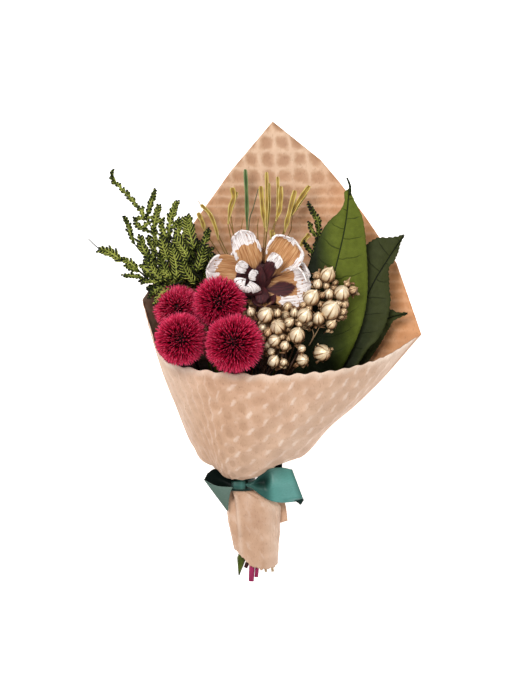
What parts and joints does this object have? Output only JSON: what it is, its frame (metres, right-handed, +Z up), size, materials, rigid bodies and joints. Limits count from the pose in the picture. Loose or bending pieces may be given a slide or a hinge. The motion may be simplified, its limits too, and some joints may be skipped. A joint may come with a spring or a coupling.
{
  "type": "wrapped pinecone bouquet",
  "caption": "Bouquet of dried spiky crimson globes, a painted pinecone, gold seed pods, leaves and conifer, rolled in kraft paper and tied with a satin ribbon, lying on its back.",
  "frame": {"origin": "middle of the box at its lowest level, on the surface that the bouquet lies on", "axes": "+Y along the bouquet from the cut stems to the paper's top corner, +Z up from the surface through the flowers, +X to the right as seen from above"},
  "size_m": [0.2304, 0.3272, 0.0948],
  "materials": {
    "kraft_paper": "matte kraft paper embossed with round dimples",
    "teal_satin": "satin ribbon with a soft sheen",
    "green_tape": "matte floral tape",
    "crimson_bloom": "dyed dried flower head, matte",
    "cone_wood": "woody scales with white painted tips",
    "gold_paint": "metallic gold paint on dry pods",
    "leaf_olive": "satin leaf surface",
    "leaf_dark": "satin leaf surface",
    "conifer_green": "matte scale leaves",
    "grass_straw": "dry golden straw, slightly glossy",
    "grass_green": "dry green and brown stalks"
  },
  "bodies": {
    "root": {"paper_wrap": "kraft_paper", "ribbon": "teal_satin", "stem_tie": "green_tape", "crimson_head_a": "crimson_bloom", "crimson_head_b": "crimson_bloom", "crimson_head_c": "crimson_bloom", "crimson_head_d": "crimson_bloom", "pinecone": "cone_wood", "seed_spray_left": "gold_paint", "seed_spray_right": "gold_paint", "leaf_front": "leaf_olive", "leaf_middle": "leaf_dark", "leaf_back": "leaf_dark", "conifer_spray_1": "conifer_green", "conifer_spray_2": "conifer_green", "conifer_spray_3": "conifer_green", "conifer_spray_4": "conifer_green", "conifer_sprig": "conifer_green", "grass_gold": "grass_straw", "grass_left": "grass_straw", "grass_green": "grass_green"}
  },
  "joints": []
}
